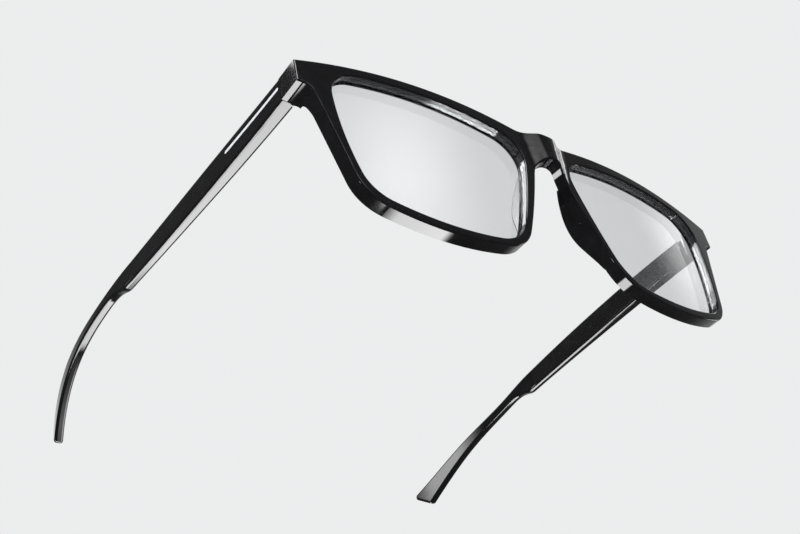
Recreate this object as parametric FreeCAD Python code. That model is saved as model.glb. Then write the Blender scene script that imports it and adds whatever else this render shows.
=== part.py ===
"""Smart glasses: a full-rim front, two clear lenses and two folding temples that hold the electronics.

Millimetres. The glasses are drawn with level temples: +X to the wearer's left, +Y back towards the ears,
+Z up, the front looks along -Y. place() then sets them down as they stand open on a table, on the two
rims and the two temple tips, with the origin under the middle of their box.
The left side (+X) is drawn once and mirrored.
"""
import FreeCAD
import Part
import math
import os

V = FreeCAD.Vector
os.makedirs("parts", exist_ok=True)

# ---------------------------------------------------------------- front: sizes
front_half_width = 72.5      # middle to the outer side of an end piece
front_apex_y = -5.05         # foremost line of the front, without the bridge's swell
front_radius = 520.0         # face-form curve of the front, seen from above
front_tilt = 1.3             # degrees the front leans, lower edge towards the face
rim_depth = 3.5              # front face to back face of a rim
edge_round = 0.45            # highlight edge round the front face
back_round = 0.3             # the softer edge round the back

far_x = front_half_width + 37.5    # reach of cutting shapes: past the outer faces of the temples,
near_x = front_half_width - 32.5   # inside their inner faces,
far_low, far_high = -60.0, 30.0    # below every rim and above every edge,
far_y = 40.0                       # and before and behind the front

top_rise = 4.4               # crown of the brow line between end piece and bridge
top_blend = 30.0             # radius where the two brow lines meet over the nose
top_mid_z = -0.4             # height of the brow line at the middle, before the blend
end_top_z = -0.1             # height of the end piece's top corner
end_height = 6.8             # height of an end piece at the front
end_root_in = 3.2            # where its underside meets the rim, in from the outer side
end_root_drop = 0.5          # how far the root lies below the corner
end_root_round = 3.0

corner_round = 0.35          # long edges of the end pieces
rim_corner_in = 11.9         # outer rim's lower temporal corner, in from the outer side
rim_low_out = (front_half_width - rim_corner_in, -37.6)
rim_low_in = (16.6, -39.9)   # outer rim, lower nasal corner before rounding
rim_low_out_round = 11.0
rim_low_in_round = 12.0
rim_low_sag = 3.8
rim_nose_sag = 0.6
arch_half = 5.3              # nose arch: half width where it meets the rims
arch_foot_z = -10.8
arch_top_z = -8.0
arch_corner_round = 3.0

bridge_swell = 2.8           # how far the bridge stands forward of the front
bridge_hollow = 2.5          # how far its back is hollowed
swell_half_top = 9.0         # half width of the swell at the brow and at the arch
swell_half_low = 6.9

# ---------------------------------------------------------------- lens: sizes
lens_top_in_by = 8.8         # temporal corners of the opening, in from the end piece's outer side
lens_low_in_by = 14.1
lens_top_out = (front_half_width - lens_top_in_by, -1.1)   # corners before rounding
lens_top_in = (7.0, -3.5)
lens_low_in = (17.9, -38.3)
lens_low_out = (front_half_width - lens_low_in_by, -35.9)
lens_top_out_round = 8.5
lens_top_in_round = 8.0
lens_low_in_round = 12.0
lens_low_out_round = 10.0
lens_top_sag = 3.5
lens_nose_sag = 1.1
lens_low_sag = 3.1
lens_side_sag = 1.9
lens_inset = 1.6             # front face of the rim to front face of the lens
lens_thick = 1.6
lens_bite = 0.6              # how far the lens reaches into its groove
groove_gap = 0.04            # clearance round the lens in its groove

# ---------------------------------------------------------------- nose pads: sizes
pad_top_z = -10.8            # where a pad's profile rises out of the rim
pad_top_end_z = -11.4        # where its blunt top end is
pad_shoulder_z = -15.0
pad_crest_z = -24.0
pad_low_z = -30.2
pad_foot_end_z = -34.3       # where its blunt foot is
pad_foot_z = -37.0           # where its profile would run out again
pad_reach = 3.35             # how far its crest stands behind the rim
pad_shares = (0.58, 1.0, 0.48)   # reach at the shoulder, the crest and the low end
pad_inset = 0.28             # lens side of a pad, outside the opening
pad_round = 0.45
pad_seat_gap = 0.06
pad_sink = 1.0               # drawn into the rim by this, then cut back to its surface

# ---------------------------------------------------------------- seam and hinge: sizes
seam_y = 6.9                 # plane where a temple meets its end piece
seam_gap = 0.12
end_thick = 3.8              # thickness of the end piece and of the temple at the seam
end_inner_round = 2.0
hinge_inset = 1.15           # hinge axis, in from the inner face
barrel_r = 1.1
pin_r = 0.55
pin_play = 0.03              # running clearance round the pin
barrel_height = 5.2
barrel_mid_z = -3.45
knuckle_gap = 0.06
knuckle_clear = 0.12         # plastic to the other half's knuckles
leaf_thick = 0.7
leaf_front = 4.2             # length of the leaf in the end piece
leaf_temple = 6.0            # length of the leaf in the temple
screw_head_r = 0.95
screw_head_h = 0.4
notch_half_angle = 48.5      # relief on each side of the inner notch, in degrees

# ---------------------------------------------------------------- temple: sizes
blade_end_y = 82.6           # where the lower edge steps up
blade_top_z = (0.2, 1.1, 0.15)   # top edge at the seam, at the middle and at the step
blade_low_z = (-7.1, -6.5)   # bottom edge at the seam and at the step
blade_flare = (0.0, 0.8, 2.6)    # outer face beside the end piece's: at the seam, the middle and the step
blade_thick = (3.8, 3.0, 2.5)
neck_y = 96.0                # slimmest place, over the ear
neck_top_z = -1.5
neck_height = 3.4
neck_flare = 3.4
bend_share = 0.61            # middle of the curve behind the ear, from the step to the tip
bend_top_z = -5.6
bend_height = 4.7
bend_flare = 2.4
tip_y = 145.4                # upper corner of the tip's end
tip_top_z = -16.0
tip_height = 7.9
tip_slant = 37.0             # end cut, degrees below the horizontal
tip_flare = -3.8
neck_thick = 2.6
step_length = 6.0            # the underside's step up behind the blade
step_low_z = -4.75
tip_corner_round = 1.2
tip_thick = 2.8
blade_round = 0.75
tip_round = 0.8

# ---------------------------------------------------------------- inside the temples: sizes
shell_wall = 0.8             # outer wall beside the cavity
cover_thick = 0.5            # inner cover
cover_lip = 0.9              # temple edge left round the cover
cavity_lip = 1.3             # temple edge left round the cavity
cavity_start_y = 15.5
cavity_end_y = 79.5
cover_ledge = 0.6            # the cover overlaps the cavity by this at both ends
cover_corner_round = 1.0
part_gap = 0.05
strip_width = 0.9            # light strip in the outer face
strip_drop = 2.75            # below the top edge
strip_start = 0.6            # behind the seam
strip_length = 24.0
strip_depth = 0.35
battery_size = (1.3, 27.0, 4.2)      # thickness, length, height
battery_y = 30.5                     # middle
board_size = (0.4, 16.0, 3.4)
board_y = 52.8
chip_size = (0.45, 4.0, 3.0)
speaker_size = (0.95, 10.0, 4.2)
speaker_y = 67.5
mic_size = (0.9, 1.6, 0.7)
mic_inset = 2.8              # in from the rear end of the board
mic_hole_r = 0.3
slot_count = 5               # sound slots in the top edge
slot_length = 1.1
slot_width = 0.6
slot_pitch = 1.7
touch_thick = 0.12           # touch foil behind the outer wall
touch_length = 22.0
touch_height = 3.4
touch_y = 50.0
button_length = 6.0
button_width = 1.2
button_height = 1.5
button_proud = 0.45
button_travel = 0.35
button_play = 0.08
button_floor = 0.1           # left under the pressed button
button_y = 24.0
contact_size = (0.35, 9.0, 2.6)      # plate set in the right cover
contact_proud = 0.1
contact_pin_r = 0.6
contact_pitch = 2.7
contact_y = 24.0
contact_chamfer = 0.05

# ---------------------------------------------------------------- standing on the table
stand_tilt = -9.1            # degrees about X that bring the tips level with the rims


# ---------------------------------------------------------------- drawing helpers
def xz(p):
    return V(p[0], 0, p[1])


def left_of(d):
    n = V(-d.z, 0, d.x)
    return n.normalize()


def side(p, q, sag=0.0):
    """Side of an outline from p to q, its middle sag to the left of the way; kept as (p, q, centre, radius).

    The radius is positive when the centre lies to the left; a straight side has no centre.
    """
    if not sag:
        return (p, q, None, 0)
    n = left_of(q - p)
    half = (q - p).Length / 2
    r = (half * half + sag * sag) / (2 * sag)
    return (p, q, (p + q) * 0.5 + n * (sag - r), -r)


def shifted(s, t):
    """A side moved to its left by t."""
    p, q, centre, r = s
    if centre is None:
        n = left_of(q - p) * t
        return (p + n, q + n, None, 0)
    return (p, q, centre, r - t)


def heading(s, at):
    """Direction of a side at a point on it."""
    p, q, centre, r = s
    if centre is None:
        return (q - p).normalize()
    d = left_of(at - centre)
    return d if r > 0 else d * -1


def meet(a, b, near):
    """Where two sides, drawn on, cross closest to a point."""
    if a[2] is None and b[2] is None:
        d, e = a[1] - a[0], b[1] - b[0]
        w = b[0] - a[0]
        t = (w.x * e.z - w.z * e.x) / (d.x * e.z - d.z * e.x)
        return a[0] + d * t
    if a[2] is None:
        a, b = b, a
    if b[2] is None:
        d = (b[1] - b[0]).normalize()
        foot = b[0] + d * d.dot(a[2] - b[0])
        reach = math.sqrt(a[3] ** 2 - (foot - a[2]).Length ** 2)
        found = [foot + d * reach, foot - d * reach]
    else:
        w = b[2] - a[2]
        gap = w.Length
        t = (gap * gap + a[3] ** 2 - b[3] ** 2) / (2 * gap)
        reach = math.sqrt(a[3] ** 2 - t * t)
        w.normalize()
        foot = a[2] + w * t
        found = [foot + left_of(w) * reach, foot - left_of(w) * reach]
    return min(found, key=lambda p: (p - near).Length)


def touch(s, centre):
    """Point of a side closest to a point."""
    if s[2] is None:
        d = (s[1] - s[0]).normalize()
        return s[0] + d * d.dot(centre - s[0])
    return s[2] + (centre - s[2]).normalize() * abs(s[3])


def outline(sides, radii, y0=-far_y, y1=far_y):
    """Prism along Y of a closed outline; radii round the corners where each side ends, 0 for a sharp one."""
    starts, ends, arcs = {}, {}, []
    for i, s in enumerate(sides):
        j = (i + 1) % len(sides)
        after = sides[j]
        corner = meet(s, after, s[1])
        r = radii[i]
        if not r:
            ends[i] = starts[j] = corner
            continue
        d, e = heading(s, corner), heading(after, corner)
        turn = 1 if d.x * e.z - d.z * e.x > 0 else -1
        centre = meet(shifted(s, turn * r), shifted(after, turn * r), corner)
        ends[i], starts[j] = touch(s, centre), touch(after, centre)
        middle = (ends[i] + starts[j]) * 0.5 - centre
        arcs.append(Part.Arc(ends[i], centre + middle.normalize() * r, starts[j]).toShape())
    edges = list(arcs)
    for i, s in enumerate(sides):
        p, q, centre, r = starts[i], ends[i], s[2], s[3]
        if centre is None:
            edges.append(Part.LineSegment(p, q).toShape())
        else:
            middle = (p + q) * 0.5 - centre
            edges.append(Part.Arc(p, centre + middle.normalize() * abs(r), q).toShape())
    face = Part.Face(Part.Wire(Part.__sortEdges__(edges)))
    face.translate(V(0, y0, 0))
    return face.extrude(V(0, y1 - y0, 0))


def tilt(shape):
    """Lean the front about the X axis."""
    out = shape.copy()
    out.rotate(V(0, 0, 0), V(1, 0, 0), front_tilt)
    return out


def mirrored(shape):
    return shape.mirror(V(0, 0, 0), V(1, 0, 0))


def box(x0, x1, y0, y1, z0, z1):
    return Part.makeBox(x1 - x0, y1 - y0, z1 - z0, V(x0, y0, z0))


def curved_plate(depth0, depth1, half=far_x, low=far_low, high=far_high):
    """The slab between two depths behind the front's curved face, leaning with the front."""
    axis_y = front_apex_y + front_radius
    outer = Part.makeCylinder(front_radius - depth0, high - low, V(0, axis_y, low))
    inner = Part.makeCylinder(front_radius - depth1, high - low, V(0, axis_y, low))
    slab = outer.cut(inner).common(box(-half, half, front_apex_y - 5, front_apex_y + 30, low, high))
    return tilt(slab)


# ---------------------------------------------------------------- outlines of the front
def lens_outline(grow=0.0):
    """Prism of the lens opening at +X, grown outwards all round by grow."""
    c = [xz(lens_top_out), xz(lens_top_in), xz(lens_low_in), xz(lens_low_out)]
    sags = [lens_top_sag, lens_nose_sag, lens_low_sag, lens_side_sag]
    radii = [lens_top_in_round, lens_low_in_round, lens_low_out_round, lens_top_out_round]
    sides = [shifted(side(c[i], c[(i + 1) % 4], -sags[i]), -grow) for i in range(4)]
    return outline(sides, [r + grow for r in radii])


def front_outline():
    """Prism of the whole front's outer outline."""
    half = front_half_width
    right = [
        (0, top_mid_z),
        (half, end_top_z),
        (half, end_top_z - end_height),
        (half - end_root_in, end_top_z - end_height - end_root_drop),
        rim_low_out,
        rim_low_in,
        (arch_half, arch_foot_z),
    ]
    sags = [top_rise, 0, 0, 0, rim_low_sag, rim_nose_sag]
    radii = [0, 0, end_root_round, rim_low_out_round, rim_low_in_round, arch_corner_round]
    p = [xz(q) for q in right]
    there = [side(p[i], p[i + 1], sags[i]) for i in range(6)]
    m = [V(-q.x, 0, q.z) for q in p]
    back = [side(m[i + 1], m[i], sags[i]) for i in reversed(range(6))]
    arch = side(p[6], m[6], -(arch_top_z - arch_foot_z))
    return outline(there + [arch] + back, radii + radii[::-1] + [top_blend])


def plan_curve(radius, depth, h, height, z):
    """Face line of the front seen from above: an arc at depth, with a swell of half width h in the middle."""
    axis = V(0, front_apex_y + front_radius, z)
    edge_x = front_half_width + 6

    def on_arc(x):
        return V(x, axis.y - math.sqrt((radius - depth) ** 2 - x * x), z)

    a = on_arc(h)
    apex = V(0, front_apex_y + depth - height, z)
    arc = Part.Arc(on_arc(edge_x), on_arc((edge_x + h) / 2), a).toShape()
    pts = [a]
    for u, share in ((0.75, 0.10), (0.38, 0.78)):
        pts.append(V(u * h, a.y + (apex.y - a.y) * share, z))
    pts.append(apex)
    slope = h / math.sqrt((radius - depth) ** 2 - h * h)
    line = Part.BSplineCurve()
    line.interpolate(pts, InitialTangent=V(-1, -slope, 0) * h, FinalTangent=V(-1, 0, 0) * h)
    swell = line.toShape()
    return [arc, swell, mirrored(swell), mirrored(arc)]


def front_slab():
    """Curved slab of rim_depth with the bridge's swell and hollow, both narrowing downwards."""
    wires = []
    low = -45.0
    high = 10.0
    taper = (swell_half_top - swell_half_low) / (top_mid_z - arch_foot_z)
    for z in (low, high):
        h = swell_half_low + taper * (z - arch_foot_z)
        face = plan_curve(front_radius, 0, h, bridge_swell, z)
        rear = plan_curve(front_radius, rim_depth, h, bridge_hollow, z)
        p, q = face[0].Vertexes[0].Point, rear[0].Vertexes[0].Point
        end = Part.LineSegment(p, q).toShape()
        order = Part.__sortEdges__(face + rear + [end, mirrored(end)])
        wires.append(Part.Wire(order))
    return tilt(Part.makeLoft(wires, True, True))


# ---------------------------------------------------------------- front
hinge_x = front_half_width - end_thick + hinge_inset
arm_end = seam_y - seam_gap / 2
inner_x = front_half_width - end_thick
rear_root_y = front_apex_y + front_radius - math.sqrt((front_radius - rim_depth) ** 2 - inner_x ** 2)


def unlean_y(p):
    """How far back a point lies when the front's lean is taken out."""
    a = math.radians(front_tilt)
    return p.y * math.cos(a) + p.z * math.sin(a)


def front_blank():
    """Front without openings: curved slab with its swell, and the end pieces, inside the outline."""
    half = front_half_width
    low, high = far_low, far_high
    plate = front_slab()
    skin = curved_plate(1.0, far_y, half + 10)
    arm = box(inner_x, half + 5, front_apex_y, arm_end, low, high)
    root = box(inner_x - end_inner_round, inner_x, front_apex_y, rear_root_y + end_inner_round, low, high)
    axis = V(inner_x - end_inner_round, rear_root_y + end_inner_round, low)
    arm = arm.fuse(root.cut(Part.makeCylinder(end_inner_round, high - low, axis))).common(skin)
    for block in (arm, mirrored(arm)):
        plate = plate.fuse(block)
    return plate.common(front_outline())


def sharp(shape, edge, least=15.0):
    """True where the two faces at an edge meet at more than least degrees."""
    faces = shape.ancestorsOfType(edge, Part.Face)
    if len(faces) != 2:
        return False
    p = edge.valueAt((edge.FirstParameter + edge.LastParameter) / 2)
    n = [f.normalAt(*f.Surface.parameter(p)) for f in faces]
    return math.degrees(n[0].getAngle(n[1])) > least


def edge_points(e, shares=(0.2, 0.5, 0.8)):
    return [e.valueAt(e.FirstParameter + t * (e.LastParameter - e.FirstParameter)) for t in shares]


def face_edges(shape):
    """Sharp edges on the front's foremost surface."""
    axis_y = front_apex_y + front_radius
    found = []
    for e in shape.Edges:
        if all(math.hypot(p.x, unlean_y(p) - axis_y) > front_radius - 0.05 for p in edge_points(e)):
            if sharp(shape, e):
                found.append(e)
    return found


def rear_loop(shape, opening):
    """Edges of a lens opening on the back of the front."""
    axis_y = front_apex_y + front_radius
    found = []
    for e in shape.Edges:
        p = edge_points(e, (0.5,))[0]
        r = math.hypot(p.x, unlean_y(p) - axis_y)
        on_wall = min(f.distToShape(Part.Vertex(p))[0] for f in opening.Faces) < 1e-3
        if abs(r - front_radius + rim_depth) < 0.05 and on_wall:
            found.append(e)
    return found


def arm_edges(shape):
    """Long outer edges of the end pieces."""
    found = []
    for e in shape.Edges:
        pts = edge_points(e)
        if all(abs(abs(p.x) - front_half_width) < 0.01 for p in pts) and abs(pts[0].z - pts[2].z) < 0.01:
            found.append(e)
    return found


def front_lens_space(grow, gap):
    """Space of one lens at +X, grown outwards and made thicker by gap on each face."""
    return curved_plate(lens_inset - gap, lens_inset + lens_thick + gap).common(lens_outline(grow))


def hinge_cylinder(radius, z0, z1):
    return Part.makeCylinder(radius, z1 - z0, V(hinge_x, seam_y, z0))


def notch(towards):
    """Wedge that opens inwards from the hinge axis; towards is -1 for the end piece, +1 for the temple."""
    far = hinge_inset + 0.5
    a = math.radians(notch_half_angle)
    p = [
        V(hinge_x, seam_y, -20),
        V(hinge_x - far, seam_y, -20),
        V(hinge_x - far, seam_y + towards * far * math.tan(a), -20),
    ]
    p.append(p[0])
    return Part.Face(Part.makePolygon(p)).extrude(V(0, 0, 40))


barrel_low = barrel_mid_z - barrel_height / 2
barrel_high = barrel_mid_z + barrel_height / 2
third = barrel_height / 3
knuckle_spans = [
    (barrel_low, barrel_low + third - knuckle_gap),
    (barrel_low + third, barrel_high - third),
    (barrel_high - third + knuckle_gap, barrel_high),
]


def leaf_space(length, towards):
    y = sorted((seam_y, seam_y + towards * length))
    return box(hinge_x - leaf_thick / 2, hinge_x + leaf_thick / 2, y[0], y[1], barrel_low, barrel_high)


def hinge_half(front):
    """Hinge half with its knuckles and leaf: two knuckles in the front, one in the temple."""
    mine = (0, 2) if front else (1,)
    towards = -1 if front else 1
    body = leaf_space(leaf_front if front else leaf_temple, towards)
    for i, (z0, z1) in enumerate(knuckle_spans):
        if i in mine:
            body = body.fuse(hinge_cylinder(barrel_r, z0, z1))
        else:
            body = body.cut(hinge_cylinder(barrel_r + knuckle_clear, z0 - knuckle_gap, z1 + knuckle_gap))
    if front:
        body = body.cut(box(0, 90, seam_y, seam_y + 9, -20, 20).cut(hinge_cylinder(barrel_r, -20, 20)))
    bore = hinge_cylinder(pin_r + pin_play, barrel_low - 1, barrel_high + 1)
    return body.cut(bore).removeSplitter()


def hinge_pocket(towards):
    """What the plastic gives up for its hinge half."""
    room = hinge_cylinder(barrel_r + knuckle_clear, barrel_low - 0.1, barrel_high + 9)
    leaf = leaf_space(leaf_front if towards < 0 else leaf_temple, towards)
    return room.fuse(leaf).fuse(notch(towards))


def hinge_screw():
    """Screw put in from above; its head rests on the upper knuckle."""
    top = barrel_high + screw_head_h
    shank = hinge_cylinder(pin_r, barrel_low, top)
    head = hinge_cylinder(screw_head_r, barrel_high, top)
    slot = box(hinge_x - 2, hinge_x + 2, seam_y - 0.12, seam_y + 0.12, top - 0.2, top + 1)
    return shank.fuse(head).cut(slot)


def build_front():
    body = front_blank()
    body = body.makeFillet(edge_round, face_edges(body))
    opening = lens_outline()
    for cut in (opening, mirrored(opening)):
        body = body.cut(cut)
        axis_y = front_apex_y + front_radius
        ring = []
        for e in face_edges(body):
            p = edge_points(e, (0.5,))[0]
            if min(f.distToShape(Part.Vertex(p))[0] for f in cut.Faces) < 1e-3:
                ring.append(e)
        body = body.makeFillet(edge_round, ring)
        body = body.makeFillet(back_round, rear_loop(body, cut))
    groove = front_lens_space(lens_bite + groove_gap, groove_gap)
    pocket = hinge_pocket(-1)
    for cut in (groove, mirrored(groove), pocket, mirrored(pocket)):
        body = body.cut(cut)
    return body


def build_pad():
    """One nose pad: a fin behind the nasal side of the rim, its profile seen from the side."""
    back_y = front_apex_y + rim_depth
    low, mid, crest, end = (pad_top_z, pad_shoulder_z, pad_crest_z, pad_low_z)
    reach = [share * pad_reach for share in pad_shares]
    pts = [V(0, back_y, low)]
    pts += [V(0, back_y + r, z) for r, z in zip(reach, (mid, crest, end))]
    pts.append(V(0, back_y, pad_foot_z))
    line = Part.BSplineCurve()
    line.interpolate(pts)
    sunk = [V(0, back_y - pad_sink, p.z) for p in (pts[-1], pts[0])]
    edges = [line.toShape()]
    for p, q in ((pts[-1], sunk[0]), (sunk[0], sunk[1]), (sunk[1], pts[0])):
        edges.append(Part.LineSegment(p, q).toShape())
    half = front_half_width / 2
    fin = tilt(Part.Face(Part.Wire(edges)).extrude(V(half, 0, 0)))
    nose_side = shifted(side(xz(lens_top_in), xz(lens_low_in), -lens_nose_sag), -pad_inset)
    centre, r = nose_side[2], abs(nose_side[3])
    hole = Part.makeCylinder(r, 2 * half, V(centre.x, -half, centre.z), V(0, 1, 0))
    between = box(0, half, -half, half, pad_foot_end_z, pad_top_end_z)
    pad = front_outline().common(between).cut(hole)
    rim = front_slab()
    rim.translate(V(0, pad_seat_gap, 0))
    pad = pad.common(fin).cut(rim)
    pad = sorted(pad.Solids, key=lambda q: q.Volume)[-1]
    crest_edges = []
    for e in pad.Edges:
        pts = edge_points(e)
        if all(unlean_y(p) > back_y + 0.3 + p.x ** 2 / (2 * front_radius) for p in pts):
            crest_edges.append(e)
    lens_side = max(crest_edges, key=lambda e: edge_points(e)[1].x)
    return pad.makeFillet(pad_round, [lens_side])


# ---------------------------------------------------------------- temple
temple_start = seam_y + seam_gap / 2
blade_mid_y = (seam_y + blade_end_y) / 2
bend_y = blade_end_y + bend_share * (tip_y - blade_end_y)
stations = [seam_y, blade_mid_y, blade_end_y, neck_y, bend_y, tip_y]
out_x = [front_half_width + d for d in list(blade_flare) + [neck_flare, bend_flare, tip_flare]]
thick = list(blade_thick) + [neck_thick, neck_thick, tip_thick]
tip_angle = math.radians(tip_slant)
mic_y = board_y + board_size[1] / 2 - mic_inset
tip_low_y = tip_y - tip_height * math.cos(tip_angle)
tip_low_z = tip_top_z - tip_height * math.sin(tip_angle)


def spline(points, first=None, last=None):
    line = Part.BSplineCurve()
    if first is None:
        line.interpolate(points)
    else:
        line.interpolate(points, InitialTangent=first, FinalTangent=last)
    return line.toShape()


def plan_line(xs):
    """Smooth line seen from above through the temple's stations."""
    pts = [V(x, y, far_low) for x, y in zip(xs, stations)]
    return spline(pts)


def plan_band(xs0, xs1):
    """Upright solid between two lines seen from above, xs0 outside xs1."""
    a, b = plan_line(xs0), plan_line(xs1)
    front = Part.LineSegment(b.Vertexes[0].Point, a.Vertexes[0].Point).toShape()
    rear = Part.LineSegment(a.Vertexes[-1].Point, b.Vertexes[-1].Point).toShape()
    return Part.Face(Part.Wire([front, a, rear, b])).extrude(V(0, 0, far_high - far_low))


def outer_band(d0, d1):
    """Band between two depths below the temple's outer face."""
    return plan_band([x - d0 for x in out_x], [x - d1 for x in out_x])


def inner_band(d0, d1):
    """Band between two depths below the temple's inner face."""
    inner = [x - t for x, t in zip(out_x, thick)]
    return plan_band([x + d1 for x in inner], [x + d0 for x in inner])


def blade_arc(drop):
    y = (seam_y, blade_mid_y, blade_end_y)
    return Part.Arc(*[V(0, a, z - drop) for a, z in zip(y, blade_top_z)])


def side_prism():
    """Whole temple seen from the side, from the seam to the slanting end of the tip."""
    top = blade_arc(0)
    end = V(0, blade_end_y, blade_top_z[2])
    down = top.tangent(top.LastParameter)[0]
    tip = V(0, tip_y, tip_top_z)
    run = V(0, 1, -0.52) * 30
    tail = spline([end, V(0, neck_y, neck_top_z), V(0, bend_y, bend_top_z), tip], down * 30, run)
    low = V(0, blade_end_y, blade_low_z[1])
    under = spline(
        [
            low,
            V(0, blade_end_y + step_length / 2, (blade_low_z[1] + step_low_z) / 2),
            V(0, blade_end_y + step_length, step_low_z),
            V(0, neck_y, neck_top_z - neck_height),
            V(0, bend_y, bend_top_z - bend_height),
            V(0, tip_low_y, tip_low_z),
        ],
        V(0, 1, 0.05) * 4,
        V(0, 1, -0.75) * 20,
    )
    start_low = V(0, seam_y, blade_low_z[0])
    edges = [
        top.toShape(),
        tail,
        Part.LineSegment(tip, V(0, tip_low_y, tip_low_z)).toShape(),
        under,
        Part.LineSegment(low, start_low).toShape(),
        Part.LineSegment(start_low, V(0, seam_y, blade_top_z[0])).toShape(),
    ]
    face = Part.Face(Part.Wire(Part.__sortEdges__(edges)))
    face.translate(V(near_x, 0, 0))
    body = face.extrude(V(far_x - near_x, 0, 0))
    ends = []
    for e in body.Edges:
        p = edge_points(e, (0.5,))[0]
        for q in ((tip_y, tip_top_z), (tip_low_y, tip_low_z)):
            if abs(p.y - q[0]) < 0.01 and abs(p.z - q[1]) < 0.01:
                ends.append(e)
    return body.makeFillet(tip_corner_round, ends)


def blade_window(lip, y0, y1):
    """Side-on prism inside the blade, lip away from its top and bottom edges."""
    top = blade_arc(lip).toShape()
    rise = (blade_low_z[1] - blade_low_z[0]) / (blade_end_y - seam_y)
    a = V(0, seam_y, blade_low_z[0] + lip)
    b = V(0, blade_end_y, blade_low_z[0] + lip + rise * (blade_end_y - seam_y))
    edges = [
        top,
        Part.LineSegment(top.Vertexes[-1].Point, b).toShape(),
        Part.LineSegment(b, a).toShape(),
        Part.LineSegment(a, top.Vertexes[0].Point).toShape(),
    ]
    face = Part.Face(Part.Wire(edges))
    face.translate(V(near_x, 0, 0))
    prism = face.extrude(V(far_x - near_x, 0, 0))
    return prism.common(box(near_x, far_x, y0, y1, far_low, far_high))


def top_at(y):
    """Height of the blade's top edge at y."""
    t = (y - seam_y) / (blade_end_y - seam_y)
    z0, z1, z2 = blade_top_z
    return z0 * (1 - t) * (1 - 2 * t) + 4 * z1 * t * (1 - t) + z2 * t * (2 * t - 1)


def low_at(y):
    """Height of the blade's bottom edge at y."""
    t = (y - seam_y) / (blade_end_y - seam_y)
    return blade_low_z[0] + t * (blade_low_z[1] - blade_low_z[0])


def middle_z(y):
    return (top_at(y) + low_at(y)) / 2


def on_line(xs, y):
    """x of a plan line at y, with its slope in degrees."""
    line = Part.BSplineCurve()
    line.interpolate([V(x, b, 0) for x, b in zip(xs, stations)])
    u = line.parameter(V(xs[0], y, 0))
    for _ in range(8):
        p, d = line.getD1(u)
        u += (y - p.y) / d.y
    p, d = line.getD1(u)
    return p.x, math.degrees(math.atan2(d.x, d.y))


inner_xs = [x - t for x, t in zip(out_x, thick)]


def blade_box(size, y, depth, z=None, inner=False):
    """Box lying along the outer (or inner) face of the blade at depth below it, turned to its slope."""
    x, slope = on_line(inner_xs if inner else out_x, y)
    z = middle_z(y) if z is None else z
    x = x + depth if inner else x - depth - size[0]
    out = Part.makeBox(*size, V(x, y - size[1] / 2, z - size[2] / 2))
    out.rotate(V(x, y, z), V(0, 0, 1), -slope)
    return out


def upright_slot(length, width, y, z0, z1, across=None):
    """Stadium-shaped upright prism, long side along the blade, in the middle of its thickness."""
    xo, slope = on_line(out_x, y)
    xi, _ = on_line(inner_xs, y)
    x = (xo + xi) / 2
    out = box(-width / 2, width / 2, -(length - width) / 2, (length - width) / 2, z0, z1)
    for end in (-1, 1):
        out = out.fuse(Part.makeCylinder(width / 2, z1 - z0, V(0, end * (length - width) / 2, z0)))
    out = out.removeSplitter()
    out.rotate(V(0, 0, 0), V(0, 0, 1), -slope)
    out.translate(V(x, y, 0))
    return out


def build_temple():
    """Left temple's plastic: rounded bar, hinge pocket, strip groove, cavity with the cover's recess, mic hole."""
    body = side_prism().common(plan_band(out_x, inner_xs))
    long_edges = []
    for e in body.Edges:
        pts = edge_points(e)
        along = abs(pts[0].y - pts[2].y) > 0.3
        at_tip = pts[1].y > tip_low_y - 2 and abs(pts[0].z - pts[2].z) > 0.3
        if along or at_tip:
            long_edges.append(e)
    body = body.makeFillet(blade_round, long_edges)
    body = body.cut(box(0, far_x, -far_y, temple_start, far_low, far_high))
    body = body.cut(hinge_pocket(1))
    body = body.cut(strip_space(0))
    body = body.cut(inner_band(-5, cover_thick + part_gap).common(cover_window(0)))
    cavity = plan_band([x - shell_wall for x in out_x], [x - 5 for x in inner_xs])
    cavity = cavity.common(blade_window(cavity_lip, cavity_start_y, cavity_end_y))
    body = body.cut(cavity)
    hole_top = top_at(mic_y)
    x = on_line(out_x, mic_y)[0] - shell_wall - mic_size[0] / 2 - part_gap
    return body.cut(Part.makeCylinder(mic_hole_r, 4, V(x, mic_y, hole_top - 2)))


def cover_window(gap):
    side = blade_window(cover_lip + gap, cavity_start_y - cover_ledge + gap, cavity_end_y + cover_ledge - gap)
    corners = [e for e in side.Edges if abs(edge_points(e)[0].x - edge_points(e)[2].x) > 30]
    return side.makeFillet(cover_corner_round, corners)


def build_cover():
    return inner_band(0, cover_thick).common(cover_window(part_gap))


def strip_space(gap):
    """Light strip below the top edge of the outer face, with round ends."""
    y0 = temple_start + strip_start
    y1 = y0 + strip_length
    z0 = top_at(y0) - strip_drop
    z1 = top_at(y1) - strip_drop
    r = strip_width / 2 - gap
    slope = math.degrees(math.atan2(z1 - z0, y1 - y0))
    out = box(near_x, far_x, r, strip_length - r, -r, r)
    for y in (r, strip_length - r):
        end = Part.makeCylinder(r, far_x - near_x, V(near_x, y, 0), V(1, 0, 0))
        out = out.fuse(end)
    out = out.removeSplitter()
    out.rotate(V(0, 0, 0), V(1, 0, 0), slope)
    out.translate(V(0, y0, z0))
    if gap:
        return out.common(outer_band(0, strip_depth - gap))
    return out.common(outer_band(-5, strip_depth))


def build_board():
    """Circuit board with two chips on the side of the cover."""
    board = blade_box(board_size, board_y, shell_wall + touch_thick + 2 * part_gap)
    depth = shell_wall + touch_thick + 2 * part_gap + board_size[0]
    for dy in (-4.5, 1.0):
        board = board.fuse(blade_box(chip_size, board_y + dy, depth, middle_z(board_y)))
    return board


def build_speaker():
    """Flat speaker capsule with a raised sound outlet under the slots."""
    box_ = blade_box(speaker_size, speaker_y, shell_wall + 2 * part_gap)
    return box_


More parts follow.
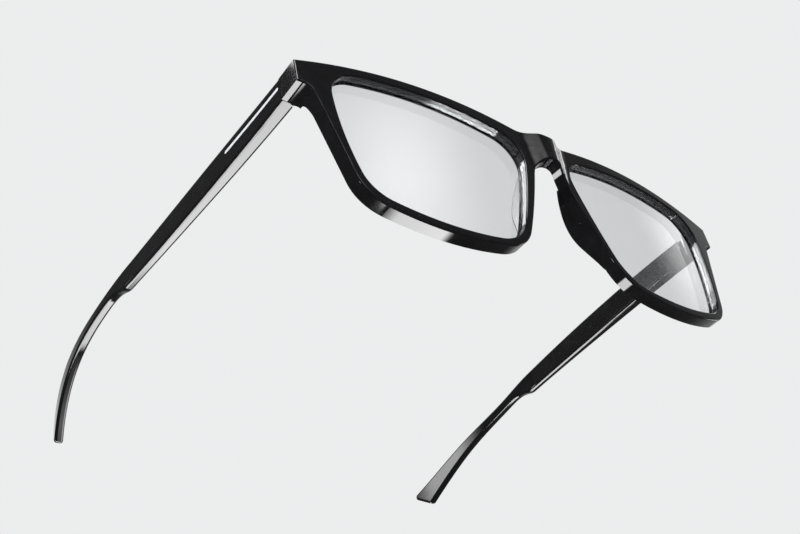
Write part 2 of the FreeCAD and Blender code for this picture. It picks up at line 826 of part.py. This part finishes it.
def sound_slots():
    cut = None
    for i in range(slot_count):
        y = speaker_y + (i - (slot_count - 1) / 2) * slot_pitch
        slot = upright_slot(slot_length, slot_width, y, top_at(y) - cavity_lip - 0.5, top_at(y) + 2)
        cut = slot if cut is None else cut.fuse(slot)
    return cut


def button_body():
    """Power button in the top edge."""
    top = top_at(button_y) + button_proud
    return upright_slot(button_length, button_width, button_y, top - button_height, top)


def button_room():
    """Pocket that the button slides in, open at the top."""
    top = top_at(button_y) + button_proud
    grow = 2 * button_play
    low = top - button_height - button_travel - button_floor
    return upright_slot(button_length + grow, button_width + grow, button_y, low, top + button_height)


def contact_plate(gap=0.0, depth=None):
    """Plate set in the right cover's inner face."""
    size = (contact_size[0] + 3, contact_size[1] + 2 * gap, contact_size[2] + 2 * gap)
    return blade_box(size, contact_y, contact_size[0] - size[0], None, True)


def contact_pins():
    x, slope = on_line(inner_xs, contact_y)
    pins = []
    for i in (-1, 0, 1):
        y = i * contact_pitch
        pin = Part.makeCylinder(contact_pin_r, contact_size[0] + contact_proud, V(-contact_proud, y, 0), V(1, 0, 0))
        pins.append(pin)
    out = Part.makeCompound(pins)
    out.rotate(V(0, 0, 0), V(0, 0, 1), -slope)
    out.translate(V(x, contact_y, middle_z(contact_y)))
    return out


# ---------------------------------------------------------------- the whole part
def build():
    """All nodes by name, drawn with level temples."""
    nodes = {"front_frame": build_front()}
    temple = build_temple().cut(sound_slots())
    cover = build_cover()
    plate_room = contact_plate(part_gap)
    plate = contact_plate().common(inner_band(0, 3))
    pins = contact_pins()
    left = {
        "lens": front_lens_space(lens_bite, 0),
        "nose_pad": build_pad(),
        "front_hinge": hinge_half(True),
        "temple_hinge": hinge_half(False),
        "hinge_screw": hinge_screw(),
        "temple": temple,
        "temple_cover": cover,
        "light_strip": strip_space(part_gap / 2),
        "battery": blade_box(battery_size, battery_y, shell_wall + touch_thick + 2 * part_gap),
        "circuit_board": build_board(),
        "speaker": build_speaker(),
        "microphone": blade_box(mic_size, mic_y, shell_wall + part_gap, top_at(mic_y) - cavity_lip - 0.42),
    }
    for name, shape in left.items():
        nodes["left_" + name] = shape
        nodes["right_" + name] = mirrored(shape)
    nodes["right_temple"] = mirrored(temple.cut(button_room()))
    nodes["right_temple_cover"] = mirrored(cover.cut(plate_room))
    foil = outer_band(shell_wall + part_gap, shell_wall + part_gap + touch_thick)
    y0, y1 = touch_y - touch_length / 2, touch_y + touch_length / 2
    z = middle_z(touch_y)
    foil = foil.common(box(0, far_x, y0, y1, z - touch_height / 2, z + touch_height / 2))
    nodes["touch_sensor"] = mirrored(foil)
    nodes["power_button"] = mirrored(button_body())
    nodes["contact_plate"] = mirrored(plate.cut(pins))
    nodes["contact_pins"] = mirrored(pins)
    return nodes


def stand(nodes):
    """Turn the glasses onto rims and tips and bring the middle of their box over the origin."""
    for shape in nodes.values():
        shape.rotate(V(0, 0, 0), V(1, 0, 0), stand_tilt)
    boxes = [s.optimalBoundingBox(True, False) for s in (nodes["front_frame"], nodes["left_temple"])]
    low = min(b.ZMin for b in boxes)
    y0 = min(b.YMin for b in boxes)
    y1 = max(b.YMax for b in boxes)
    print("rims and tips stand at", [round(b.ZMin - low, 3) for b in boxes])
    shift = V(0, -(y0 + y1) / 2, -low)
    for shape in nodes.values():
        shape.translate(shift)
    return shift


def placed(p, shift):
    """A point or direction of the level drawing in the placed frame."""
    turn = FreeCAD.Rotation(V(1, 0, 0), stand_tilt)
    return turn.multVec(p) + shift


if __name__ == "__main__":
    nodes = build()
    shift = stand(nodes)
    for name, shape in nodes.items():
        good = shape.isValid()
        print(name, good, len(shape.Solids), round(shape.Volume, 2))
        shape.exportStep("parts/" + name + ".step")
    print("shift", shift)
    print("hinge", placed(V(hinge_x, seam_y, barrel_mid_z), shift), placed(V(0, 0, 1), V(0, 0, 0)))
    xo = (on_line(out_x, button_y)[0] + on_line(inner_xs, button_y)[0]) / 2
    print("button", placed(V(-xo, button_y, top_at(button_y) + button_proud), shift))
    x, slope = on_line(inner_xs, contact_y)
    print("contacts", placed(V(-x, contact_y, middle_z(contact_y)), shift), slope)
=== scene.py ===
# %% [markdown]
# # Smart glasses in polished black acetate
# This lesson dresses a finished CAD model of smart glasses: it gives every part the finish that the real part has,
# adds the small pieces that are too fine for CAD, and sets up a plain studio to look at them in.
# The model comes in as a fixed frame. Each part is already in its place, in metres, so nothing here moves it.

# %% Load the frame
import bmesh
import bpy
import math
from mathutils import Matrix, Vector


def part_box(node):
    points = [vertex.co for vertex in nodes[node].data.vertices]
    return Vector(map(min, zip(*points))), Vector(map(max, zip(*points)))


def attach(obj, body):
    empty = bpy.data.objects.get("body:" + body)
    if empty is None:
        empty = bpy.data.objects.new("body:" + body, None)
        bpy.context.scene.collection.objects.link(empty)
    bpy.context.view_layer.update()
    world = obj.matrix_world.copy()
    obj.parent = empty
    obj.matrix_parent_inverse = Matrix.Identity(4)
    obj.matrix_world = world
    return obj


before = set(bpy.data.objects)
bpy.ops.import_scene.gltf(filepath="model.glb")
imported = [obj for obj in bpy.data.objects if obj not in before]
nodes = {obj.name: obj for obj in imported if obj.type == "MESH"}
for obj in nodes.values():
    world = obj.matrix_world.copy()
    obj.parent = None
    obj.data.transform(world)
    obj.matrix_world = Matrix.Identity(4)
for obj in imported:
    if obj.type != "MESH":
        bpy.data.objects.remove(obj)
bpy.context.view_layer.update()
MM = 0.001

# %% [markdown]
# ## The camera
# The glasses are seen from below and from the wearer's right, as if they floated above the eye. A camera is set by
# three things: where it stands, the point it looks at, and how far it rolls about that line. The lens is nearly as
# long as the frame is wide, which keeps the far temple from shrinking too much.

# %% Place the camera
EYE = Vector((-177.45, -217.84, -124.70)) * MM
LOOK_AT = Vector((-19.46, -31.57, 20.21)) * MM
ROLL_DEG = -6.055
camera_data = bpy.data.cameras.new("camera")
camera_data.lens = 48.6
camera_data.sensor_width = 36.0
camera_data.clip_start = 0.005
camera = bpy.data.objects.new("camera", camera_data)
bpy.context.scene.collection.objects.link(camera)
turn = (LOOK_AT - EYE).to_track_quat("-Z", "Y").to_matrix()
camera.matrix_world = Matrix.Translation(EYE) @ (turn @ Matrix.Rotation(math.radians(ROLL_DEG), 3, "Z")).to_4x4()
bpy.context.scene.camera = camera
print("camera to glasses", round((LOOK_AT - EYE).length, 3), "m")

# %% [markdown]
# ## Small helpers for node trees
# A material is a graph of nodes. A few helpers keep the cells short: they add a node, join two sockets, work out a
# number from sockets, rescale a value, or mix two colours. They hide nothing: every node still shows up in the
# Shader Editor.


# %% Add and join nodes
def add(tree, kind, **inputs):
    """Add a node and set its inputs by name."""
    node = tree.nodes.new(kind)
    for name, value in inputs.items():
        node.inputs[name.replace("_", " ")].default_value = value
    return node


def join(tree, source, target):
    tree.links.new(source, target)


# %% Work out, rescale and mix
def reckon(tree, operation, *values, clamp=False):
    """Math node: each value is a socket or a number."""
    node = tree.nodes.new("ShaderNodeMath")
    node.operation = operation
    node.use_clamp = clamp
    for target, value in zip(node.inputs, values):
        if isinstance(value, bpy.types.NodeSocket):
            join(tree, value, target)
        else:
            target.default_value = value
    return node.outputs[0]


def rescale(tree, value, low, high, smooth=False):
    """Map Range node: low gives 0 and high gives 1."""
    node = tree.nodes.new("ShaderNodeMapRange")
    if smooth:
        node.interpolation_type = "SMOOTHSTEP"
    node.inputs["From Min"].default_value = low
    node.inputs["From Max"].default_value = high
    join(tree, value, node.inputs["Value"])
    return node.outputs["Result"]


def mix_colours(tree, factor, first, second):
    node = tree.nodes.new("ShaderNodeMix")
    node.data_type = "RGBA"
    node.inputs["A"].default_value = (*first, 1)
    node.inputs["B"].default_value = (*second, 1)
    join(tree, factor, node.inputs["Factor"])
    return node.outputs["Result"]


# %% Pick the largest value, or give way to a clear shader
def largest(tree, *values):
    """Largest of several 0 or 1 values, as one socket."""
    most = values[0]
    for other in values[1:]:
        most = reckon(tree, "MAXIMUM", most, other)
    return most


def clear_where(tree, factor, colour=(1, 1, 1)):
    """The material's own shader gives way to a clear one where factor is 1."""
    clear = add(tree, "ShaderNodeBsdfTransparent", Color=(*colour, 1))
    blend = tree.nodes.new("ShaderNodeMixShader")
    join(tree, factor, blend.inputs["Fac"])
    join(tree, tree.nodes["Principled BSDF"].outputs["BSDF"], blend.inputs[1])
    join(tree, clear.outputs["BSDF"], blend.inputs[2])
    join(tree, blend.outputs["Shader"], tree.nodes["Material Output"].inputs["Surface"])


# %% [markdown]
# ## Shared effect: polish
# Acetate is buffed on a wheel. What is left is very smooth but never perfect: the gloss breathes a little over a few
# millimetres, and skin leaves faint smears. Three noises of different sizes make that one effect. It is built once,
# as a group, and each finish places it with its own amounts.


# %% Build the polish group
POLISH_INPUTS = {"Base Roughness": 0.05, "Smear Amount": 0.1, "Smear Size": 90.0, "Dust Amount": 0.1}


def build_polish_group():
    group = bpy.data.node_groups.new("buffed surface", "ShaderNodeTree")
    for name, value in POLISH_INPUTS.items():
        socket = group.interface.new_socket(name, in_out="INPUT", socket_type="NodeSocketFloat")
        socket.default_value = value
    for name in ("Roughness", "Height", "Smear"):
        group.interface.new_socket(name, in_out="OUTPUT", socket_type="NodeSocketFloat")
    ins = group.nodes.new("NodeGroupInput")
    outs = group.nodes.new("NodeGroupOutput")
    where = group.nodes.new("ShaderNodeTexCoord")
    smear = add(group, "ShaderNodeTexNoise", Detail=4.0, Roughness=0.55, Distortion=1.6)
    speck = add(group, "ShaderNodeTexNoise", Scale=2600.0, Detail=2.0)
    wave = add(group, "ShaderNodeTexNoise", Scale=260.0, Detail=1.0)
    for noise in (smear, speck, wave):
        join(group, where.outputs["Object"], noise.inputs["Vector"])
    join(group, ins.outputs["Smear Size"], smear.inputs["Scale"])
    patch = rescale(group, smear.outputs["Fac"], 0.48, 0.72)
    fleck = rescale(group, speck.outputs["Fac"], 0.66, 0.74)
    smears = reckon(group, "MULTIPLY", patch, ins.outputs["Smear Amount"])
    dust = reckon(group, "MULTIPLY", fleck, ins.outputs["Dust Amount"])
    extra = reckon(group, "ADD", smears, dust)
    roughness = reckon(group, "ADD", extra, ins.outputs["Base Roughness"], clamp=True)
    join(group, roughness, outs.inputs["Roughness"])
    join(group, wave.outputs["Fac"], outs.inputs["Height"])
    join(group, patch, outs.inputs["Smear"])
    return group


polish = build_polish_group()
print("polish group", len(polish.nodes), "nodes")


# %% Place the polish group in a material
def place_polish(tree, **amounts):
    """The buffed surface with its own amounts, given by input name."""
    surface = tree.nodes.new("ShaderNodeGroup")
    surface.node_tree = polish
    for name, value in amounts.items():
        surface.inputs[name.replace("_", " ")].default_value = value
    return surface


# %% A finish made from the polish group
def finish(name, colour, base, smear, size=90.0, dust=0.1, metallic=0.0, lighter=1.6, bump=0.02):
    """Material with the buffed surface: its colour varies a little with the smears."""
    material = bpy.data.materials.new(name)
    material.use_nodes = True
    tree = material.node_tree
    shader = tree.nodes["Principled BSDF"]
    shader.inputs["IOR"].default_value = 1.5
    shader.inputs["Metallic"].default_value = metallic
    surface = place_polish(tree, Base_Roughness=base, Smear_Amount=smear, Smear_Size=size, Dust_Amount=dust)
    lighter_colour = [min(1, part * lighter) for part in colour]
    tone = mix_colours(tree, surface.outputs["Smear"], colour, lighter_colour)
    join(tree, tone, shader.inputs["Base Color"])
    join(tree, surface.outputs["Roughness"], shader.inputs["Roughness"])
    relief = add(tree, "ShaderNodeBump", Strength=bump, Distance=0.05 * MM)
    join(tree, surface.outputs["Height"], relief.inputs["Height"])
    join(tree, relief.outputs["Normal"], shader.inputs["Normal"])
    return material


def wear(material, *names):
    """Give a finish to CAD nodes by name."""
    for name in names:
        mesh = nodes[name].data
        mesh.materials.clear()
        mesh.materials.append(material)
    print(material.name, "on", len(names), "nodes")


def both(name):
    return ["left_" + name, "right_" + name]


# %% [markdown]
# ## Black acetate
# The front, the temples and the nose pads are cut from one black sheet and polished, so they share a finish.
# Black is not zero: a base of a little over half a percent keeps the form readable, and all the rest is reflection.
# A second clear layer would double the gloss, so only the base shader's own Fresnel reflection is used.

# %% Black acetate
acetate = finish(
    "black acetate", (0.006, 0.006, 0.007), base=0.05, smear=0.04, dust=0.0, bump=0.004,
)
wear(acetate, "front_frame", *both("temple"), *both("nose_pad"))
cover_black = finish("black cover", (0.009, 0.009, 0.010), base=0.16, smear=0.08, size=120.0)
wear(cover_black, *both("temple_cover"))

# %% [markdown]
# ## Lenses
# Each lens is a real solid with two faces. At an index of 1.38 the lines seen through it were bent and doubled near
# its edge, so the body has an index of only 1.02, with full transmission and a light grey tint. That leaves it almost
# no mirror of its own: a clear coat with an index of 1.45 gives it one, a little weaker than that of plain glass.
# Glass casts a dark shadow in a path tracer, because light bent by it is hard to find. A Light Path node swaps in a
# transparent shader for shadow rays.


# %% Coated lens
def build_lens_material():
    material = bpy.data.materials.new("coated lens")
    material.use_nodes = True
    tree = material.node_tree
    shader = tree.nodes["Principled BSDF"]
    shader.inputs["Transmission Weight"].default_value = 1.0
    shader.inputs["IOR"].default_value = 1.02
    shader.inputs["Coat Weight"].default_value = 1.0
    shader.inputs["Coat IOR"].default_value = 1.45
    shader.inputs["Coat Roughness"].default_value = 0.0
    surface = place_polish(tree, Base_Roughness=0.0, Smear_Amount=0.012, Smear_Size=45.0, Dust_Amount=0.0)
    tone = mix_colours(tree, surface.outputs["Smear"], (0.80, 0.81, 0.82), (0.78, 0.79, 0.80))
    join(tree, tone, shader.inputs["Base Color"])
    join(tree, surface.outputs["Roughness"], shader.inputs["Roughness"])
    path = tree.nodes.new("ShaderNodeLightPath")
    clear_where(tree, path.outputs["Is Shadow Ray"], (0.93, 0.94, 0.95))
    return material


wear(build_lens_material(), *both("lens"))

# %% [markdown]
# ## Metal, board and film
# The hinge, its screw, the contacts and the parts sealed inside the temples each get the finish of the real thing.
# They are small, but they show when a temple is folded or the model is opened up.

# %% Small parts
steel = finish("hinge steel", (0.50, 0.50, 0.51), base=0.22, smear=0.12, size=400.0, metallic=1.0, lighter=1.25)
wear(steel, *both("front_hinge"), *both("temple_hinge"))
plated = finish("screw plating", (0.66, 0.66, 0.67), base=0.10, smear=0.10, size=600.0, metallic=1.0, lighter=1.2)
wear(plated, *both("hinge_screw"))
gold = finish("gold plating", (0.83, 0.62, 0.27), base=0.14, smear=0.10, size=500.0, metallic=1.0, lighter=1.15)
wear(gold, "contact_pins")
pouch = finish("battery pouch", (0.60, 0.60, 0.61), base=0.28, smear=0.15, size=300.0, metallic=1.0, lighter=1.2)
wear(pouch, *both("battery"))
can = finish("capsule steel", (0.42, 0.42, 0.44), base=0.30, smear=0.12, size=350.0, metallic=1.0, lighter=1.2)
wear(can, *both("speaker"), *both("microphone"))
matt_black = finish("matt black", (0.018, 0.018, 0.019), base=0.50, smear=0.15, size=300.0)
wear(matt_black, "contact_plate")
button_black = finish("button black", (0.012, 0.012, 0.013), base=0.20, smear=0.10, size=500.0)
wear(button_black, "power_button")
board = finish("solder mask", (0.012, 0.10, 0.035), base=0.30, smear=0.10, size=900.0, lighter=1.8)
wear(board, *both("circuit_board"))
film = finish("sensor film", (0.36, 0.19, 0.04), base=0.30, smear=0.12, size=500.0, lighter=1.3)
wear(film, "touch_sensor")

# %% [markdown]
# ## Light strip
# The strip is a frosted diffuser over tiny lamps. It is pale plastic that scatters light. Its faint glow, stronger in
# some bands than others,
# is painted light: it stands in for the bright highlight that the strip shows.


# %% Light strip
def build_strip_material():
    material = finish("strip diffuser", (0.70, 0.71, 0.73), base=0.22, smear=0.05, size=300.0, lighter=1.15)
    tree = material.node_tree
    shader = tree.nodes["Principled BSDF"]
    where = tree.nodes.new("ShaderNodeTexCoord")
    # painted glow: these wave bands and the emission below make the strip glow, standing in for its highlight
    lamps = add(tree, "ShaderNodeTexWave", Scale=90.0)
    lamps.bands_direction = "Y"
    join(tree, where.outputs["Object"], lamps.inputs["Vector"])
    glow = mix_colours(tree, lamps.outputs["Fac"], (0.80, 0.84, 0.90), (1.0, 1.0, 1.0))
    join(tree, glow, shader.inputs["Emission Color"])
    shader.inputs["Emission Strength"].default_value = 0.35
    return material


wear(build_strip_material(), *both("light_strip"))

# %% [markdown]
# ## Placing small pieces in a temple
# A small piece is easiest to make flat at the origin. It is then turned as the temple is and moved to its place by
# one matrix. The pieces are made for the left temple. The right one gets the mirror image, and mirroring turns a mesh
# inside out, so its faces are reversed.

# %% Helpers for pieces in a temple
DOWN_DEG = -9.1  # the temples fall to the rear
GAUZE_OUT_DEG = -2.8  # and spread a little: this much at the speaker
BOARD_OUT_DEG = -2.0  # and this much at the board


def on_temple(centre, out_deg):
    """Matrix that lays a shape at a point, turned as the left temple is there."""
    fall = Matrix.Rotation(math.radians(DOWN_DEG), 4, "X")
    return Matrix.Translation(centre) @ fall @ Matrix.Rotation(math.radians(out_deg), 4, "Z")


def hand_in(shape, name, side, *materials):
    """Turn a left-hand shape into a piece of its side, riding on that temple."""
    if side == "right":
        bmesh.ops.scale(shape, verts=shape.verts, vec=(-1, 1, 1))
        bmesh.ops.reverse_faces(shape, faces=shape.faces)
    mesh = bpy.data.meshes.new(side + name)
    shape.to_mesh(mesh)
    shape.free()
    for material in materials:
        mesh.materials.append(material)
    piece = bpy.data.objects.new(side + name, mesh)
    bpy.context.scene.collection.objects.link(piece)
    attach(piece, side + "_temple_arm")
    print(piece.name, len(mesh.polygons), "faces")


def middle(name):
    low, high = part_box(name)
    return (Vector(low) + Vector(high)) / 2


# %% [markdown]
# ## Speaker gauze
# Under the sound slots of each temple a strip of woven steel keeps lint out of the speaker. A weave of real wires
# would be thousands of tubes. A grid whose cells are opened by an inset gives the same look through slots that are
# half a millimetre wide: the inset leaves a frame in each cell, its middle is deleted, and solidify gives it body.

# %% Speaker gauze
GAUZE_WIDTH, GAUZE_LENGTH = 0.8 * MM, 8.4 * MM
WIRE_HALF, WIRE_HEIGHT = 0.03 * MM, 0.04 * MM
ABOVE_SPEAKER = Vector((0.09, 0.36, 2.27)) * MM
gauze_steel = finish(
    "gauze steel", (0.30, 0.30, 0.31), base=0.30, smear=0.10, size=700.0, metallic=1.0, lighter=1.3,
)
for side in ("left", "right"):
    shape = bmesh.new()
    bmesh.ops.create_grid(shape, x_segments=6, y_segments=62, size=0.5)
    bmesh.ops.scale(shape, verts=shape.verts, vec=(GAUZE_WIDTH, GAUZE_LENGTH, 1))
    cells = list(shape.faces)
    bmesh.ops.inset_individual(shape, faces=cells, thickness=WIRE_HALF, depth=0)
    bmesh.ops.delete(shape, geom=cells, context="FACES")
    bmesh.ops.solidify(shape, geom=list(shape.faces), thickness=WIRE_HEIGHT)
    bmesh.ops.recalc_face_normals(shape, faces=shape.faces)
    place = on_temple(middle("left_speaker") + ABOVE_SPEAKER, GAUZE_OUT_DEG)
    bmesh.ops.transform(shape, matrix=place, verts=shape.verts)
    hand_in(shape, "_speaker_gauze", side, gauze_steel)

# %% [markdown]
# ## Parts on the circuit board
# Between the two chips of each board stand rows of tiny ceramic parts. Each is a bevelled block, and its tinned ends
# are the end faces of the block with a second finish. They show once the cover is off.

# %% Ceramic parts on the boards
CERAMIC_SIZE = (0.26 * MM, 0.56 * MM, 0.28 * MM)
STEP_MM, RISE_MM = 0.85, 0.7  # from one part to the next, along and up
TINNED_FROM_MM, TINNED_TO_MM = 0.16, 0.69  # faces whose middle is in this stretch of a step are end faces
TO_BOARD_FACE = Vector((-0.13, 0, 0)) * MM
ceramic = finish("ceramic", (0.33, 0.24, 0.16), base=0.45, smear=0.15, size=1500.0, lighter=1.4)
tin = finish(
    "tinned ends", (0.62, 0.62, 0.62), base=0.25, smear=0.15, size=1500.0, metallic=1.0, lighter=1.2,
)
for side in ("left", "right"):
    shape = bmesh.new()
    for row in range(4):
        for column in range(3):
            spot = Vector((0, (column - 1) * STEP_MM, (row - 1.5) * RISE_MM)) * MM
            size = Matrix.Diagonal((*CERAMIC_SIZE, 1))
            bmesh.ops.create_cube(shape, size=1.0, matrix=Matrix.Translation(spot) @ size)
    bmesh.ops.bevel(
        shape, geom=list(shape.edges), offset=0.03 * MM, offset_type="OFFSET", segments=2, profile=0.5,
        affect="EDGES", material=-1,
    )
    for face in shape.faces:
        beside = (face.calc_center_median().y / MM) % STEP_MM
        face.material_index = int(TINNED_FROM_MM < beside < TINNED_TO_MM)
    place = on_temple(middle("left_circuit_board") + TO_BOARD_FACE, BOARD_OUT_DEG)
    bmesh.ops.transform(shape, matrix=place, verts=shape.verts)
    hand_in(shape, "_board_parts", side, ceramic, tin)

# %% [markdown]
# ## Floor and backdrop
# The glasses stand on a pale floor, but the camera looks up from under it. A floor seen from its back would hide
# everything, so its material is see-through from below: Geometry's Backfacing output tells the two sides apart.
# A view that came through the floor once has a Transparent Depth of 1, and its reflections and lamp rays pass too, so
# that the undersides mirror the softboxes below. Seen from above, the floor is plain pale paint: it catches the
# shadow, and the undersides mirror the floor itself.


# %% Floor material
def build_floor_material():
    material = bpy.data.materials.new("pale floor")
    material.use_nodes = True
    tree = material.node_tree
    shader = tree.nodes["Principled BSDF"]
    grain = add(tree, "ShaderNodeTexNoise", Scale=900.0, Detail=3.0)
    where = tree.nodes.new("ShaderNodeTexCoord")
    join(tree, where.outputs["Object"], grain.inputs["Vector"])
    tone = mix_colours(tree, grain.outputs["Fac"], (0.76, 0.76, 0.755), (0.80, 0.80, 0.795))
    join(tree, tone, shader.inputs["Base Color"])
    shader.inputs["Roughness"].default_value = 0.85
    side = tree.nodes.new("ShaderNodeNewGeometry")
    path = tree.nodes.new("ShaderNodeLightPath")
    came_through = reckon(tree, "GREATER_THAN", path.outputs["Transparent Depth"], 0.5)
    reflection_or_lamp = largest(tree, path.outputs["Is Glossy Ray"], path.outputs["Is Shadow Ray"])
    lets_pass = reckon(tree, "MULTIPLY", came_through, reflection_or_lamp)
    clear_where(tree, largest(tree, side.outputs["Backfacing"], lets_pass))
    return material


# %% Floor
FLOOR_HALF_WIDTH = 3.0
FLOOR_DROP = 0.2 * MM  # keeps it clear of the rims and tips that stand on it
mesh = bpy.data.meshes.new("floor")
shape = bmesh.new()
bmesh.ops.create_grid(shape, x_segments=1, y_segments=1, size=FLOOR_HALF_WIDTH)
shape.to_mesh(mesh)
shape.free()
mesh.materials.append(build_floor_material())
floor = bpy.data.objects.new("floor", mesh)
bpy.context.scene.collection.objects.link(floor)
floor.location.z = -FLOOR_DROP
print("floor", 2 * FLOOR_HALF_WIDTH, "m wide")

# %% [markdown]
# ## World
# The world is the backdrop, a pale wall behind the glasses. The camera and the glass see it everywhere. Gloss sees it
# only in the direction where it stands, and a dim room elsewhere, because a black polished face mirrors whatever is
# before it: in a room that is pale all round, black turns grey. Everything else gets an even soft light.

# %% World
BACKDROP = Vector((0.56, 0.66, 0.51))  # direction in which the pale wall stands
WALL_BEGINS, WALL_FULL = 0.50, 0.92  # cosine of the angle away from that direction
ROOM, WALL = (0.09, 0.09, 0.09), (0.84, 0.845, 0.85)
world = bpy.data.worlds.new("studio")
bpy.context.scene.world = world
world.use_nodes = True
tree = world.node_tree
seen = add(tree, "ShaderNodeBackground", Strength=1.0)
lit = add(tree, "ShaderNodeBackground", Color=(1.0, 1.0, 1.0, 1), Strength=0.45)
path = tree.nodes.new("ShaderNodeLightPath")
where = tree.nodes.new("ShaderNodeTexCoord")
towards = tree.nodes.new("ShaderNodeVectorMath")
towards.operation = "DOT_PRODUCT"
towards.inputs[1].default_value = BACKDROP.normalized()
join(tree, where.outputs["Generated"], towards.inputs[0])
on_wall = rescale(tree, towards.outputs["Value"], WALL_BEGINS, WALL_FULL, smooth=True)
straight = largest(tree, path.outputs["Is Camera Ray"], path.outputs["Is Transmission Ray"])
join(tree, mix_colours(tree, largest(tree, straight, on_wall), ROOM, WALL), seen.inputs["Color"])
pick = tree.nodes.new("ShaderNodeMixShader")
join(tree, largest(tree, straight, path.outputs["Is Glossy Ray"]), pick.inputs["Fac"])
join(tree, lit.outputs["Background"], pick.inputs[1])
join(tree, seen.outputs["Background"], pick.inputs[2])
join(tree, pick.outputs["Shader"], tree.nodes["World Output"].inputs["Surface"])
print("world", len(tree.nodes), "nodes")

# %% [markdown]
# ## Lamps
# One soft key lamp lights the object at a plain level. The others are cards that only gloss can see: a black polished
# object is drawn by what it mirrors, and each card draws one group of highlights. They fade towards their rims, as a
# real softbox does. All but the key and the front card are linked to the pieces that they draw on. A wall that is
# seen through a lens is lit through the lens too, so the lenses are in the list of the cards for such walls.


# %% Fading cards
def fade_to_rims(data, fade):
    """Dims a lamp towards its rims, over this share of the way from its middle."""
    data.use_nodes = True
    tree = data.node_tree
    spot = tree.nodes.new("ShaderNodeNewGeometry")
    centred = tree.nodes.new("ShaderNodeVectorMath")
    centred.operation = "SUBTRACT"
    centred.inputs[1].default_value = (0.5, 0.5, 0)
    parts = tree.nodes.new("ShaderNodeSeparateXYZ")
    join(tree, spot.outputs["Parametric"], centred.inputs[0])
    join(tree, centred.outputs["Vector"], parts.inputs[0])
    dims = []
    for axis in "XY":
        away = reckon(tree, "ABSOLUTE", parts.outputs[axis])
        dims.append(rescale(tree, away, 0.5, 0.5 * (1 - fade), smooth=True))
    join(tree, reckon(tree, "MULTIPLY", *dims), tree.nodes["Emission"].inputs["Strength"])


# %% Softbox
AIM = Vector((0, 0, 0.02))


def softbox(name, bearing, height, reach, size, level, fade=0.0, only=None, diffuse=False, roll=0):
    """Lamp seen from the glasses at a bearing (0 in front, 90 at +X) and height in degrees, turned by roll."""
    data = bpy.data.lights.new(name, "AREA")
    data.shape = "RECTANGLE"
    data.size, data.size_y = size
    data.energy = level * math.pi * size[0] * size[1]
    if fade:
        fade_to_rims(data, fade)
    lamp = bpy.data.objects.new(name, data)
    bpy.context.scene.collection.objects.link(lamp)
    a, e = math.radians(bearing), math.radians(height)
    away = Vector((math.sin(a) * math.cos(e), -math.cos(a) * math.cos(e), math.sin(e)))
    turn = away.to_track_quat("Z", "Y").to_matrix().to_4x4() @ Matrix.Rotation(math.radians(roll), 4, "Z")
    lamp.matrix_world = Matrix.Translation(AIM + away * reach) @ turn
    lamp.visible_diffuse = diffuse
    if only:
        group = bpy.data.collections.new(name + " receivers")
        for node in only:
            group.objects.link(nodes[node])
        lamp.light_linking.receiver_collection = group


# %% Key and cards
FRONT = ["front_frame"] + both("nose_pad")
BEHIND_LENS = FRONT + both("lens")
TEMPLES = both("temple") + both("temple_cover")
softbox("key above", -50, 55, 1.0, (0.5, 0.5), 7.5, diffuse=True)
softbox("under temples", -176, -60, 0.8, (1.2, 0.34), 12.0, fade=0.4, only=TEMPLES)
softbox("under rims", 142, -64, 0.855, (0.44, 0.13), 14.0, fade=0.3, only=FRONT, roll=131)
softbox("upper wall", 130, -68, 0.832, (0.36, 0.12), 14.0, fade=0.3, only=both("lens"), roll=122)
softbox("under nose", -124, -67, 0.84, (0.36, 0.18), 14.0, fade=0.3, only=FRONT, roll=-126)
softbox("under tip", 86, -46, 0.75, (0.62, 0.95), 6.0, fade=0.4, only=["right_temple"])
softbox("inner wall", -131, 45, 0.735, (0.32, 0.10), 15.0, fade=0.3, only=BEHIND_LENS, roll=-52)
softbox("nose wall", -160, 56, 0.8, (0.34, 0.24), 6.0, fade=0.4, only=BEHIND_LENS)
softbox("rear tip", -121, 23, 0.815, (0.46, 0.24), 7.0, fade=0.7, only=["left_temple"])
softbox("front side", 80, -4, 0.8, (0.22, 0.35), 5.0, fade=0.6, only=FRONT)
softbox("front", -4, 35, 0.8, (0.50, 0.36), 2.0, fade=0.9)
softbox("side left", -98, -9, 0.8, (0.34, 0.06), 9.0, fade=0.5, only=FRONT)
softbox("bridge flank", 82, 41, 0.8, (0.14, 0.14), 2.6, fade=0.6, only=["front_frame"])
softbox("glow one", 30, 45, 0.766, (0.30, 0.26), 2.1, fade=1.0, only=["right_lens"])
softbox("glow two", 76, 33, 0.917, (0.22, 0.26), 1.5, fade=1.0, only=["left_lens"])
print("lamps", len(bpy.data.lights))

# %% [markdown]
# ## Colour management
# Standard colour management shows each colour as it was written.

# %% Finish
bpy.context.scene.view_settings.view_transform = "Standard"
